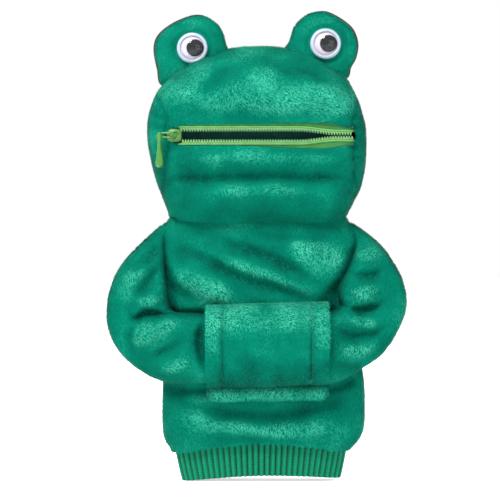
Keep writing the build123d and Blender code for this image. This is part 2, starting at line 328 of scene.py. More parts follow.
def pile(sheetwork, nap, seed, density=1.0, length=1.0):
    """Short tufts rooted all over a skin, lying along the nap: corners, triangles, tones and normals."""
    rng = np.random.default_rng(seed)
    corners, triangles = sheetwork.corners, sheetwork.triangles
    normals = normals_of(corners, triangles)
    a, b, c = (corners[triangles[:, k]] for k in range(3))
    area = 0.5 * np.linalg.norm(np.cross(b - a, c - a), axis=1)
    count = int(area.sum() * DENSITY * density)
    face = rng.choice(len(triangles), count, p=area / area.sum())
    r = rng.random((count, 2))
    flip = r.sum(axis=1) > 1
    r[flip] = 1 - r[flip]
    w = np.column_stack([1 - r.sum(axis=1), r[:, 0], r[:, 1]])
    root = sum(w[:, k, None] * corners[triangles[face, k]] for k in range(3))
    up = sum(w[:, k, None] * normals[triangles[face, k]] for k in range(3))
    painted_light = sum(w[:, k] * sheetwork.painted_light[triangles[face, k]] for k in range(3))
    up /= np.maximum(np.linalg.norm(up, axis=1), 1e-9)[:, None]
    lay = nap(root, up)
    lay += rng.normal(0, 0.2, (count, 3))
    lay -= np.sum(lay * up, axis=1)[:, None] * up
    lay /= np.maximum(np.linalg.norm(lay, axis=1), 1e-9)[:, None]
    side = np.cross(up, lay)
    patch = np.array([noise.noise(Vector(p / 13.0) + Vector((seed * 3.1, 0, 0))) for p in root])
    lift = np.radians(rng.normal(20, 5, count) + 8 * patch)[:, None]
    long = (PILE_LENGTH * length * rng.uniform(0.65, 1.2, count))[:, None]
    wide = (PILE_WIDTH * rng.uniform(0.6, 1.25, count))[:, None]
    lean = rng.normal(0, 0.25, count)[:, None]
    middle = root + long * 0.5 * (np.cos(lift + 0.25) * lay + np.sin(lift + 0.25) * up)
    tip = middle + long * 0.55 * (np.cos(lift - 0.3) * (lay + lean * side) + np.sin(lift - 0.3) * up)
    root = root - 0.15 * up
    blades = np.stack([root - side * wide / 2, root + side * wide / 2,
                       middle - side * wide * 0.42, middle + side * wide * 0.42, tip], axis=1)
    start = np.arange(count)[:, None] * 5
    tris = np.vstack([start + np.array([0, 3, 1]), start + np.array([0, 2, 3]), start + np.array([2, 4, 3])])
    # each tuft's tone: random, plus random patches of crushed pile as painted sheen, plus painted shade in
    # creases and painted highlight on ridges from the folds' height
    shade = rng.uniform(-0.06, 0.06, count) + 0.08 * patch + FOLD_SHADE * np.clip(painted_light, -3.2, 1.9)
    foot, waist, top = ROOT_TONE + 0.9 * shade, MIDDLE_TONE + shade, TIP_TONE + shade
    tone = np.stack([foot, foot, waist, waist, top], axis=1)
    card = np.cross(side, tip - root)
    card /= np.maximum(np.linalg.norm(card, axis=1), 1e-9)[:, None]
    facing = np.where(np.sum(card * up, axis=1) < 0, -1.0, 1.0)[:, None]
    soft = up + CARD_SHARE * card * facing
    return blades.reshape(-1, 3), tris, tone.ravel(), np.repeat(soft, 5, axis=0)


def make_mesh(name, corners, triangles, tone=None, normals=None):
    """A mesh object in metres from corners in millimetres."""
    mesh = bpy.data.meshes.new(name)
    mesh.vertices.add(len(corners))
    mesh.vertices.foreach_set("co", (np.asarray(corners, float) * MM).astype(np.float32).ravel())
    triangles = np.asarray(triangles)
    sides = triangles.shape[1]
    mesh.loops.add(triangles.size)
    mesh.loops.foreach_set("vertex_index", triangles.astype(np.int32).ravel())
    mesh.polygons.add(len(triangles))
    mesh.polygons.foreach_set("loop_start", np.arange(0, triangles.size, sides, dtype=np.int32))
    mesh.polygons.foreach_set("use_smooth", np.full(len(triangles), True))
    mesh.update(calc_edges=True)
    mesh.validate()
    if tone is not None:
        attribute = mesh.attributes.new("tone", "FLOAT", "POINT")
        attribute.data.foreach_set("value", np.asarray(tone, np.float32))
    if normals is not None:
        unit = normals / np.maximum(np.linalg.norm(normals, axis=1), 1e-9)[:, None]
        mesh.normals_split_custom_set_from_vertices(unit.tolist())
    piece = bpy.data.objects.new(name, mesh)
    bpy.context.scene.collection.objects.link(piece)
    return piece


def mesh_of(name, work, tone=None):
    return make_mesh(name, work.corners, work.triangles, tone)


def dress(piece, material, slot_name, body=None, *stands_for):
    """A piece's material, the body that it rides on, and the CAD nodes that it stands for; slot_name is not
    used.
    """
    piece.data.materials.append(material)
    if body:
        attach(piece, body)
    if stands_for:
        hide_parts(*stands_for)
    return piece


def thicken(piece, thickness, offset):
    """Gives a cloth its thickness, in millimetres."""
    solid = piece.modifiers.new("thickness", "SOLIDIFY")
    solid.thickness = thickness * MM
    solid.offset = offset


def weld(piece):
    """Joins the ends of a turned or closed grid."""
    piece.modifiers.new("weld", "WELD").merge_threshold = 0.00001


def plush(name, sheetwork, nap, seed, density=1.0, length=1.0):
    """A piece of plush: its skin, and its pile as a piece of its own on it."""
    skin = mesh_of(name, sheetwork, np.full(len(sheetwork.corners), SKIN_TONE))
    fur = make_mesh(name + "_pile", *pile(sheetwork, nap, seed, density, length))
    return [dress(piece, PLUSH, "plush") for piece in (skin, fur)]


def go_with(pieces, body):
    """All these pieces ride on one body."""
    for piece in pieces:
        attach(piece, body)


def bend_with(pieces):
    """Bakes each piece's place into its mesh."""
    for piece in pieces:
        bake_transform(piece)


def nap_down(swirl=0.5, sideways=0.0, seed=1.0):
    """Pile that hangs down the panel, with soft swirls left by handling."""
    def direction(root, up):
        swirls = np.array([noise.noise(Vector(p / 24.0) + Vector((0, seed * 5.7, 0))) for p in root])
        turn = swirls * swirl * 3.0 + sideways
        return np.column_stack([np.sin(turn), np.zeros(len(root)), -np.cos(turn)])
    return direction


# ================================================================ materials
def linear(r, g, b):
    """An sRGB colour from 0 to 255 as a linear one with alpha."""
    def one(v):
        v /= 255
        return ((v + 0.055) / 1.055) ** 2.4 if v > 0.04045 else v / 12.92
    return (one(r), one(g), one(b), 1.0)


class Nodes:
    """Short names for building one material's node tree."""

    def __init__(self, name):
        self.material = bpy.data.materials.new(name)
        self.material.use_nodes = True
        self.tree = self.material.node_tree
        self.shader = self.tree.nodes["Principled BSDF"]

    def add(self, kind, **settings):
        node = self.tree.nodes.new(kind)
        for key, value in settings.items():
            if key in node.inputs:
                node.inputs[key].default_value = value
            else:
                setattr(node, key, value)
        return node

    def link(self, source, target):
        self.tree.links.new(source, target)

    def set(self, **values):
        for key, value in values.items():
            self.shader.inputs[key.replace("_", " ")].default_value = value

    def place(self):
        return self.add("ShaderNodeTexCoord").outputs["Object"]

    def ramp(self, source, stops):
        node = self.add("ShaderNodeValToRGB")
        elements = node.color_ramp.elements
        while len(elements) < len(stops):
            elements.new(0.5)
        for element, (position, colour) in zip(elements, stops):
            element.position = position
            element.color = colour
        self.link(source, node.inputs["Fac"])
        return node.outputs["Color"]

    def noise(self, scale, detail=3.0, roughness=0.5, source=None):
        node = self.add("ShaderNodeTexNoise")
        node.inputs["Scale"].default_value = scale
        node.inputs["Detail"].default_value = detail
        node.inputs["Roughness"].default_value = roughness
        self.link(source or self.place(), node.inputs["Vector"])
        return node.outputs["Fac"]

    def math(self, operation, a, b=0.0):
        node = self.add("ShaderNodeMath", operation=operation)
        for k, value in enumerate((a, b)):
            if isinstance(value, (int, float)):
                node.inputs[k].default_value = value
            else:
                self.link(value, node.inputs[k])
        return node.outputs[0]

    def bump(self, height, strength, distance):
        node = self.add("ShaderNodeBump")
        node.inputs["Strength"].default_value = strength
        node.inputs["Distance"].default_value = distance
        self.link(height, node.inputs["Height"])
        self.link(node.outputs["Normal"], self.shader.inputs["Normal"])


def plush_material():
    """Short polyester pile coloured from its tone: painted shade makes it dark at the roots, painted sheen
    makes it pale and silky at the tips.
    """
    m = Nodes("plush_pile")
    tone = m.add("ShaderNodeAttribute", attribute_name="tone").outputs["Fac"]
    # painted sheen: random broad patches, where crushed pile would catch more or less light, are painted
    # paler or darker
    crushed_sheen = m.math("MULTIPLY", m.math("SUBTRACT", m.noise(55.0, 2.0), 0.5), 0.30)
    colour = m.ramp(m.math("ADD", tone, crushed_sheen), [
        (0.0, linear(0, 20, 16)), (0.3, linear(0, 66, 54)), (0.6, linear(0, 106, 85)),
        (1.0, linear(74, 188, 156))])
    m.link(colour, m.shader.inputs["Base Color"])
    m.set(Roughness=0.75, Sheen_Weight=0.03, Sheen_Roughness=0.4, Specular_IOR_Level=0.02)
    m.shader.inputs["Sheen Tint"].default_value = linear(190, 255, 225)
    m.bump(m.noise(900.0, 2.0), 0.25, 0.0004)
    return m.material


def knit_material():
    """Ribbed knit: rows of small loops along each rib, with painted shade darkening the grooves between the
    ribs.
    """
    m = Nodes("rib_knit")
    place = m.place()
    rows = m.add("ShaderNodeTexWave", wave_type="BANDS", bands_direction="Z")
    rows.inputs["Scale"].default_value = 260.0
    rows.inputs["Distortion"].default_value = 1.2
    rows.inputs["Detail"].default_value = 1.0
    m.link(place, rows.inputs["Vector"])
    # painted shade: the tone attribute is darker in the grooves between the ribs and paler on their crests
    groove = m.add("ShaderNodeAttribute", attribute_name="tone").outputs["Fac"]
    mix = m.math("ADD", m.math("MULTIPLY", groove, 0.75), m.math("MULTIPLY", rows.outputs["Fac"], 0.14))
    mix = m.math("ADD", mix, m.math("MULTIPLY", m.noise(420.0, 2.0), 0.16))
    colour = m.ramp(mix, [(0.0, linear(0, 22, 14)), (0.4, linear(0, 74, 52)), (0.8, linear(0, 98, 70)),
                          (1.0, linear(4, 110, 80))])
    m.link(colour, m.shader.inputs["Base Color"])
    m.set(Roughness=0.85, Sheen_Weight=0.04, Sheen_Roughness=0.5, Specular_IOR_Level=0.08)
    m.bump(m.math("ADD", rows.outputs["Fac"], m.noise(1500.0, 1.0)), 0.5, 0.0003)
    return m.material


def woven_material(name, dark, light, scale):
    """A plain or twill weave, from two crossed sets of fine bands."""
    m = Nodes(name)
    place = m.place()
    bands = []
    for direction in ("DIAGONAL", "X"):
        wave = m.add("ShaderNodeTexWave", wave_type="BANDS", bands_direction=direction)
        wave.inputs["Scale"].default_value = scale
        wave.inputs["Distortion"].default_value = 0.6
        m.link(place, wave.inputs["Vector"])
        bands.append(wave.outputs["Fac"])
    weave = m.math("MULTIPLY", bands[0], bands[1])
    mix = m.math("ADD", m.math("MULTIPLY", weave, 0.6), m.math("MULTIPLY", m.noise(300.0, 3.0), 0.4))
    m.link(m.ramp(mix, [(0.15, linear(*dark)), (0.7, linear(*light))]), m.shader.inputs["Base Color"])
    m.set(Roughness=0.8, Sheen_Weight=0.1, Specular_IOR_Level=0.25)
    m.bump(weave, 0.5, 0.0002)
    return m.material


def moulded_material(name, dark, light, roughness, bump=0.15, specular=0.5):
    """Moulded plastic or enamelled metal with slight wear and unevenness."""
    m = Nodes(name)
    wear = m.noise(220.0, 4.0, 0.6)
    m.link(m.ramp(wear, [(0.3, linear(*dark)), (0.7, linear(*light))]), m.shader.inputs["Base Color"])
    m.set(Roughness=roughness, Specular_IOR_Level=specular)
    m.bump(m.noise(600.0, 2.0), bump, 0.0002)
    return m.material


def clear_material():
    """The eye's clear moulded dome."""
    m = Nodes("eye_clear")
    shine = m.add("ShaderNodeBsdfGlossy", Roughness=0.06)
    see = m.add("ShaderNodeBsdfTransparent")
    mix = m.add("ShaderNodeMixShader", Fac=0.02)
    m.link(see.outputs["BSDF"], mix.inputs[1])
    m.link(shine.outputs["BSDF"], mix.inputs[2])
    haze = m.noise(140.0, 2.0)
    m.link(m.ramp(haze, [(0.2, linear(236, 244, 250)), (0.8, linear(250, 253, 255))]), shine.inputs["Color"])
    m.tree.nodes.remove(m.shader)
    m.link(mix.outputs["Shader"], m.tree.nodes["Material Output"].inputs["Surface"])
    return m.material


PLUSH = plush_material()
KNIT = knit_material()
LINING = woven_material("mouth_lining", (0, 52, 46), (6, 92, 80), 420.0)
TAPE = woven_material("zip_tape", (24, 78, 34), (54, 112, 50), 520.0)
CORD = moulded_material("zip_thread", (46, 108, 40), (72, 132, 62), 0.7)
COIL = moulded_material("zip_coil", (96, 144, 88), (116, 162, 104), 0.4, specular=0.3)
METAL = moulded_material("zip_enamel", (40, 88, 30), (54, 102, 40), 0.36, specular=0.4)
TAB = moulded_material("pull_tab", (34, 92, 26), (46, 106, 34), 0.45, specular=0.4)
FELT = woven_material("dark_backing", (16, 18, 14), (38, 40, 32), 380.0)
EYE_WHITE = moulded_material("eye_white", (144, 138, 148), (152, 146, 156), 0.6, bump=0.02)
EYE_RIM = moulded_material("eye_rim", (118, 130, 146), (132, 143, 157), 0.25, bump=0.02)
PUPIL = moulded_material("pupil_black", (10, 8, 12), (13, 11, 15), 0.55, bump=0.0, specular=0.1)
CLEAR = clear_material()
THREAD = moulded_material("stitch_thread", (0, 40, 32), (0, 62, 50), 0.8)


# ================================================================ head
ZIP = (0.0, ZIP_Z)
HEAD_OUTLINE = at(ZIP, [
    (-50, -47), (-30, -49.5), (0, -50.5), (30, -49.5), (49, -46.5), (53, -42), (55.8, -36.5), (59.2, -29.7),
    (61, -22.7), (62.2, -15.6), (62.7, -8), (62.8, 0), (62.3, 8), (60.6, 14), (58.6, 20.5), (55.4, 27.5),
    (50.6, 35.4), (41.3, 41.7), (33, 47), (23, 51.3), (10, 53.6), (-6, 53.8), (-18, 52.3), (-31.3, 47.6),
    (-42.4, 42.5), (-51.5, 35.4), (-59, 27.5), (-62.6, 19.5), (-64.7, 12), (-65.3, 4), (-64.9, -3),
    (-63.8, -9.5), (-62.4, -16), (-60.6, -22.7), (-58.2, -29.7), (-55.4, -36.5), (-53.2, -42)])
HEAD_OPEN = at(ZIP, [(-47, -47.6), (-30, -49.5), (0, -50.5), (30, -49.5), (47, -47)])
LEFT_SEAM = at(ZIP, [
    (-61.2, 28), (-56.5, 20), (-52.6, 9), (-54.2, 0.2), (-52.4, -8), (-54.5, -20), (-56.5, -38)])
RIGHT_SEAM = at(ZIP, [(57.5, 27), (55, 17), (53.8, 8), (55.8, 0.0), (54, -8), (54.8, -20), (56.3, -38)])
SLOT = at(ZIP, [
    (-54.2, 0.2), (-50.5, 3.8), (-45, 6.0), (-36, 6.9), (-20, 7.0), (2, 7.1), (25, 7.6), (40, 7.2), (47, 5.8),
    (52.6, 4.9), (54.5, 2.9), (55.8, 0.0), (54.5, -2.9), (52.6, -4.9), (47, -5.9), (40, -7.2), (25, -7.4),
    (2, -6.4), (-20, -5.8), (-36, -5.6), (-45, -5.2), (-50.5, -3.6), (-54.2, 0.2)])
HEAD_REACH = 16.0
FACE_RISE = [          # height over the zip, and how far the face stands forward of the side seams
    (-51, 8.5), (-50, 10.5), (-48, 14), (-44, 18.5), (-38, 22.5), (-33, 23.8), (-29, 23.2), (-24, 20.6),
    (-19, 22.8), (-15, 25.0), (-11, 24.6), (-6.5, 22.8), (0, 22.6), (7, 23.2), (12, 24.2), (20, 26.4),
    (28, 26.0), (36, 23.5), (44, 18.5), (52, 13)]
BACK_RISE = [
    (-51, 8.5), (-49, 11), (-44, 15.5), (-36, 19), (-20, 21), (0, 22), (18, 21.5), (32, 18.5), (44, 14),
    (52, 11)]
HEAD_FOLDS = [          # each fold's line, its width, its height or depth, and how soon its ends fade
    ([(-50, 11), (-20, 10), (15, 11), (48, 12)], 4.0, -0.9),
    ([(-36, 20), (-29, 27), (-20, 37), (-8, 43)], 4.6, -2.6),
    ([(4, 42), (16, 39), (28, 37), (46, 28)], 4.2, -2.8),
    ([(-20, 22), (6, 18), (30, 14)], 5.0, 1.0),
    ([(-54, -25), (-15, -24), (10, -23.5), (52, -25)], 3.4, -2.2, 0.15),
    ([(-50, -14), (-10, -12), (20, -12), (52, -14)], 3.5, 1.5, 0.2),
    ([(-45, -35), (-10, -31), (20, -31), (44, -34)], 3.8, 1.6)]
for low, high in ((10, 14), (4, 7), (-6, -4), (-13, -11), (-20, -20)):      # gathers at the side seams
    HEAD_FOLDS.append(([(51, low), (57, (low + high) / 2), (61.5, high)], 1.5, -1.3))
    HEAD_FOLDS.append(([(-51, low), (-57, low + 1), (-63, high)], 1.5, -0.9))
HEAD_MOUNDS = [
    ((-28, 25), 18, 8, 1.4), ((38, 22), 14, 7, 1.4), ((-34, 37), 7, 5, 1.4), ((12, 22), 30, 9, 1.5)]


def follow(table, heights):
    """Values between the rows of a short table, with soft corners."""
    rows = np.array(table, float)
    fine = catmull(rows, False, 1.0)
    return np.interp(heights, fine[:, 0], fine[:, 1])


def head_front(points):
    """How far the face stands forward, with its folds and the marks of its filling."""
    p = points - ZIP
    z = p[:, 1]
    brow = 0.7 * smoothstep(z, 6, 14)          # painted highlight: the pile's tone is raised as if the brow stood further out, while its shape stays, so the brow is painted paler
    rise = brow + folded(p, HEAD_FOLDS, HEAD_MOUNDS) - 0.5 * smoothstep(z, -2, -10)
    rise += groove(points, LEFT_SEAM, 1.3, 1.5) + groove(points, RIGHT_SEAM, 1.3, 1.5)
    rise += 0.9 * lumps(points, 21.0, 1) + 0.4 * lumps(points, 8.0, 2)
    return follow(FACE_RISE, z) - brow, rise


def head_back(points):
    seam = at(ZIP, [(0, -50), (0, 52)])
    relief = 0.8 * lumps(points, 24.0, 5) + groove(points, seam, 1.2, 0.8)
    return follow(BACK_RISE, points[:, 1] - ZIP_Z), relief


def level(points):
    return np.zeros(len(points))


def inside(points, loop):
    """Which points lie inside a closed loop."""
    a, b = np.array(loop, float), np.roll(np.array(loop, float), -1, axis=0)
    hit = np.zeros(len(points), bool)
    for (x0, z0), (x1, z1) in zip(a, b):
        if z0 == z1:
            continue
        spans = (points[:, 1] < z0) != (points[:, 1] < z1)
        hit ^= spans & (points[:, 0] < x0 + (points[:, 1] - z0) * (x1 - x0) / (z1 - z0))
    return hit


WELT_TURN = [(0.0, -0.15), (0.25, 0.35), (0.1, 1.1), (-0.6, 1.6), (-1.6, 1.7)]     # the lip's edge turned in


def build_head():
    work = pad(HEAD_OUTLINE, level, head_front, head_back, HEAD_REACH, 1.7,
               [LEFT_SEAM, RIGHT_SEAM, SLOT], [HEAD_OPEN])
    centre = work.corners[work.triangles].mean(axis=1)[:, [0, 2]]
    front = work.labels == "front"
    work.labels[front & (centre[:, 1] >= ZIP_Z)] = "brow"
    work.labels[front & (centre[:, 1] < ZIP_Z)] = "chin"
    for seam, side, sign in ((LEFT_SEAM, "left", -1), (RIGHT_SEAM, "right", 1)):
        line = catmull(seam, False, 1.7)[::-1]
        in_seam = (centre[:, 1] > line[0, 1]) & (centre[:, 1] < line[-1, 1])
        outside = sign * (centre[:, 0] - np.interp(centre[:, 1], line[:, 1], line[:, 0])) > 0
        work.labels[front & in_seam & outside] = side + "_gusset"
    slot = catmull(SLOT, False, 1.7)
    work.labels[front & inside(centre, slot)] = "hole"

    for seed, (name, label, nodes, turn) in enumerate([
            ("head_brow", "brow", ("head_brow_panel", "brow_stuffing"), 0.35),
            ("head_chin", "chin", ("head_chin_panel",), -0.3),
            ("head_side_left", "left_gusset", ("head_side_gusset_left",), 0.1),
            ("head_side_right", "right_gusset", ("head_side_gusset_right",), -0.1),
            ("head_back", "back", ("head_back_panel",), 0.2)]):
        made = plush(name, work.part(label), nap_down(0.55, turn, seed + 1.0), 11 + seed)
        go_with(made, "head")
        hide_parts(*nodes)

    rim = slot[:-1]
    base, relief = head_front(rim)
    toward = np.sign(ZIP_Z - rim[:, 1])
    rows = [np.column_stack([rim[:, 0], deeper - base - relief, rim[:, 1] + toward * inward])
            for inward, deeper in WELT_TURN]
    corners = np.vstack(rows)
    count = len(rim)
    quads = []
    for first in range(0, (len(rows) - 1) * count, count):
        second = first + count
        quads += [(first + k, first + (k + 1) % count, second + (k + 1) % count, second + k)
                  for k in range(count)]
    # painted shade: the lip's turned-in edge gets a darker tone than the plush skin
    welt = make_mesh("mouth_welt", corners, np.array(quads), np.full(len(corners), 0.3))
    dress(welt, PLUSH, "plush", "head")


# ================================================================ torso, arms and pocket
TORSO = (0.0, CUFF_TOP)
TORSO_OUTLINE = at(TORSO, [
    (-48.5, -3.8), (-25, 0.8), (0, 3.0), (25, 1.5), (50, -2.8), (54.8, -0.6), (59, 4.4), (61.6, 12),
    (62, 28), (61.2, 41), (59, 54), (57, 75), (57, 88), (58, 104), (59, 116), (58, 124), (53, 131), (46, 137),
    (20, 138), (-20, 138), (-46, 137), (-54, 131), (-58.5, 123), (-59, 113), (-58, 104), (-57, 88), (-56, 76),
    (-56, 54), (-56, 40), (-56.4, 28), (-56.5, 14), (-55.4, 4.5), (-52, -1)])
TORSO_FOOT = at(TORSO, [(-47, -3.6), (-25, 0.8), (0, 3.0), (25, 1.5), (48.5, -2.6)])
TORSO_NECK = at(TORSO, [(-47, 137), (-20, 138), (20, 138), (47, 137)])
TORSO_REACH = 10.0
BELLY_RISE = [
    (-6, 11.6), (-2, 12.0), (1, 13.6), (5, 15.6), (12, 17), (24, 16.2), (36, 15), (56, 14.3), (80, 14),
    (104, 14), (116, 13), (124, 11), (131, 8.5), (140, 8)]
TORSO_FOLDS = [
    ([(-56, 124), (-50.5, 119.5), (-34, 110), (-14, 100), (15, 90), (36, 83)], 4.6, -3.6),
    ([(-34, 127), (-25.5, 123), (-5, 114), (18, 104), (40, 92)], 4.2, -3.0),
    ([(-56, 110), (-46, 102), (-30, 92), (-8, 80)], 5.5, 3.0),
    ([(-44, 121), (-16, 108), (12, 97.5), (40, 87)], 3.2, 2.0),
    ([(10, 122), (24, 117), (42, 112), (54, 103)], 5.0, 2.4), ([(-6, 126), (16, 122), (46, 122)], 3.0, -1.6),
    # These creases along and under the arms' edges, with the pile's painted fold shade, paint the crevices
    # between the arms and the body dark.
    ([(-58, 124), (-55, 106), (-52, 90), (-50, 72)], 3.4, -3.4, 0.12),
    ([(60, 120), (53, 107), (46, 93), (45, 84), (37, 75)], 3.4, -3.4, 0.12),
    ([(-56, 78), (-44, 77), (-30, 77)], 3.0, -3.6, 0.1), ([(54, 80), (44, 78), (34, 77)], 3.0, -3.0, 0.1),
    ([(-56, 35), (-40, 34), (-28, 34)], 2.6, -2.4, 0.1), ([(56, 40), (46, 36), (36, 34)], 2.6, -2.4, 0.1),
    ([(-57, 98), (-46, 90), (-36, 82)], 3.6, -2.6), ([(52, 98), (44, 92), (34, 78)], 4.2, -2.8),
    ([(-54, 34), (-38, 25), (-10, 20), (20, 21), (56, 32)], 4.0, -2.6),
    ([(-48, 14), (-20, 14), (10, 11), (50, 15)], 4.2, 1.6), ([(-40, 6), (-10, 6), (30, 5)], 2.6, -1.2)]
TORSO_MOUNDS = [((30, 112), 14, 9, 1.5), ((-38, 20), 14, 12, 1.2), ((30, 12), 22, 9, 1.2)]
TORSO_BACK_FOLDS = [
    ([(-30, 118), (0, 108), (34, 112)], 4.4, -2.6), ([(-40, 60), (-5, 48), (40, 58)], 6.0, -2.2),
    ([(-44, 84), (-10, 74), (30, 80)], 6.0, 1.8)]


def torso_front(points):
    p = points - TORSO
    rise = folded(p, TORSO_FOLDS, TORSO_MOUNDS) + 1.0 * lumps(points, 18.0, 3) + 0.4 * lumps(points, 7.0, 4)
    return follow(BELLY_RISE, p[:, 1]), rise


def torso_back(points):
    p = points - TORSO
    rise = folded(p, TORSO_BACK_FOLDS) + 1.1 * lumps(points, 20.0, 8) + 0.35 * lumps(points, 8.0, 9)
    return follow(BELLY_RISE, p[:, 1]), rise


def build_torso():
    work = pad(TORSO_OUTLINE, level, torso_front, torso_back, TORSO_REACH, 1.8, (), [TORSO_FOOT, TORSO_NECK])
    for seed, (label, turn) in enumerate((("front", 0.25), ("back", -0.2))):
        made = plush("torso_" + label, work.part(label), nap_down(0.6, turn, seed + 8.0), 31 + seed)
        go_with(made, "torso")
        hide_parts(f"torso_{label}_panel")


ARM_OUTLINE = {                         # from the elbow's pivot, towards the body and up
    "left": [
        (17, 63), (13.5, 57), (12.6, 50), (13, 40), (14.6, 26), (16.4, 16), (19, 13.4), (25, 12.8),
        (34, 12.4), (46, 11.5), (56, 8), (62, 0), (62.5, -8), (59, -17), (48, -25.5), (33, -27), (22, -27.3),
        (13.5, -26.8), (6, -24.2), (-1, -20.2), (-9.5, -13.4), (-14.8, -6.2), (-18.4, 1.2), (-20.1, 8.6),
        (-20, 16), (-19.2, 23), (-17.2, 29.6), (-14.4, 36.3), (-9.7, 43.3), (-3.3, 50.2), (3.6, 57.2),
        (9.5, 62.5), (14, 65)],
    "right": [
        (17, 63), (12.5, 56.5), (11.5, 50), (14.5, 42), (18.5, 34), (21.8, 27), (22.2, 21.5), (20, 17.5),
        (23.5, 14.6), (30, 13.6), (36, 12.8), (46, 11.5), (56, 8), (62, 0), (62.5, -8), (59, -17),
        (48, -25.5), (33, -27.6), (24, -26.5), (16, -23.4), (8, -19), (-1.6, -12.5), (-7.6, -5.5),
        (-11.7, 1.5), (-15, 8.5), (-17.2, 15.5), (-17.4, 22.5), (-16.1, 29.3), (-13.2, 36.3), (-9.1, 43.3),
        (-4.3, 50.2), (2.7, 57.2), (9.5, 62.5), (14, 65)]}
ARM_CUT = {"left": [(20, 18.4), (0, 0), (-21, -19.4)], "right": [(24, 22.5), (0, 0), (-21, -19.7)]}
# The creases along each arm's inner edge and beside the pocket band are deep, and with the pile's painted
# fold shade they paint the crevices by the body dark.
ARM_FOLDS = {        # points of each fold, how wide it is, and how high or deep
    "left": [
        ([(20, 11), (14, 12), (6, 13.5), (1, 12.5), (-3, 9.6), (-7, 15)], 2.0, -4.4),
        ([(10, 8), (3, 6), (-2, 1), (-8, -8)], 3.0, 2.2), ([(-3, 6), (-6, -2), (-4, -12)], 2.8, -2.2),
        ([(14, 22), (4, 20), (-6, 22)], 2.8, 2.2), ([(12, 44), (4, 32), (-2, 22), (-6, 16)], 4.0, -2.6),
        ([(12, 54), (3, 44), (-7, 40)], 3.2, -2.4), ([(8, 40), (-2, 35), (-12, 34)], 3.6, 2.0),
        ([(38, 12), (34.5, 3), (35, -10), (39, -24)], 2.8, -3.4),
        ([(26, 10), (15, 6), (2, -1), (-6, -8)], 3.2, 2.4),
        ([(26, -1), (14, -8), (5, -14)], 3.4, -2.2), ([(30, -12), (18, -18), (8, -20)], 3.4, 1.6),
        ([(13, 58), (12.8, 48), (13.4, 38), (15, 26), (17, 16), (20, 13.2), (30, 12.4), (46, 11.6)],
         1.8, -3.2)],
    "right": [
        ([(20, 17), (12, 15), (4, 16), (-4, 20)], 2.4, -4.8), ([(17, 12), (7, 8), (-2, 8)], 2.8, 2.6),
        ([(17, 26), (8, 25), (-2, 29)], 3.0, 2.6), ([(15, 36), (5, 34), (-6, 39)], 3.0, -2.6),
        ([(14, 48), (4, 46), (-4, 50)], 3.2, 2.0), ([(36, 12), (32, 3), (31, -8), (36, -24)], 2.8, -3.6),
        ([(26, 6), (14, 0), (2, 2), (-8, 8)], 3.0, -2.4), ([(24, -4), (12, -8), (0, -6)], 3.2, 2.2),
        ([(24, -14), (14, -18), (4, -14)], 3.0, -1.8),
        ([(12, 57), (12, 50), (15, 42), (19, 34), (22, 27), (22, 21), (21, 17), (24, 14.6), (36, 12.8),
          (46, 11.5)], 1.8, -3.4)]}
ARM_REACH = 8.0


def build_arm(side):
    sign = SIGN[side]
    elbow = ELBOW[side]
    origin = np.array([elbow[0], elbow[2]])
    flip = np.array([-sign, 1.0])
    outline = np.array(ARM_OUTLINE[side]) * flip + origin
    if sign > 0:
        outline = outline[::-1]

    def local(points):
        return (points - origin) * flip

    def middle(points):
        p = local(points)
        up = smoothstep(p[:, 1], -5, 50)
        top = smoothstep(p[:, 1], 42, 66)
        across = smoothstep(p[:, 0], 0, 50) * (1 - smoothstep(p[:, 1], 8, 26))
        return elbow[1] + 5.0 * up + 8.0 * top - 11.0 * across

    def thick(points, front):
        p = local(points)
        half = 10.0 + 1.8 * smoothstep(p[:, 1], 0, 30) - 1.2 * smoothstep(p[:, 0], 20, 50)
        half -= 5.5 * smoothstep(p[:, 1], 46, 66)
        folds = folded(p, ARM_FOLDS[side]) * (1.25 if front else 0.5)
        return half, folds + 0.9 * lumps(points, 13.0, 11 + sign) + 0.35 * lumps(points, 6.0, 13 + sign)

    cut = np.array(ARM_CUT[side]) * flip + origin
    work = pad(outline, middle, lambda p: thick(p, True), lambda p: thick(p, False), ARM_REACH, 1.7, [cut])
    centre = work.corners[work.triangles].mean(axis=1)[:, [0, 2]]
    run = cut[-1] - cut[0]
    normal = np.array([-run[1], run[0]]) * -sign
    normal /= np.linalg.norm(normal)
    if normal @ (np.array([30.0, -30.0]) * flip) < 0:
        normal = -normal
    past = (centre - origin) @ normal > 0
    work.labels[past] = "forearm"
    work.labels[~past] = "upper"

    seed = 51 if side == "left" else 61
    upper = plush(f"{side}_upper_arm", work.part("upper"), nap_down(0.5, -sign * 0.4, seed), seed)
    fore = plush(f"{side}_forearm", work.part("forearm"), nap_down(0.5, -sign * 1.0, seed + 1), seed + 1)
    bend_with(upper)
    bend_with(fore)
    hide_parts(f"{side}_upper_arm_shell", f"{side}_upper_arm_stuffing")
    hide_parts(f"{side}_forearm_shell", f"{side}_forearm_stuffing")


def strip_mesh(rows):
    """Triangles over a grid of points, rows by columns."""
    grid = np.array(rows, float)
    high, wide = grid.shape[:2]
    corners = grid.reshape(-1, 3)
    index = np.arange(high * wide).reshape(high, wide)
    a, b = index[:-1, :-1].ravel(), index[:-1, 1:].ravel()
    c, d = index[1:, 1:].ravel(), index[1:, :-1].ravel()
    triangles = np.vstack([np.column_stack([a, b, c]), np.column_stack([a, c, d])])
    return Sheetwork(corners, triangles, np.array(["front"] * len(triangles), object))


POCKET_PROFILE = [   # from the top seam to the foot: forward of the belly, and height over the foot seam
    (1.0, 46.0), (6.0, 47.3), (11.5, 46.6), (16.5, 43.5), (20.5, 38.5), (23.5, 31), (24.6, 22), (23.4, 13),
    (20.0, 6.5), (14.5, 2.0), (8.5, 0.2), (3.5, -0.2)]


HEM = 0.135            # share of the band's width from its end to the stitching


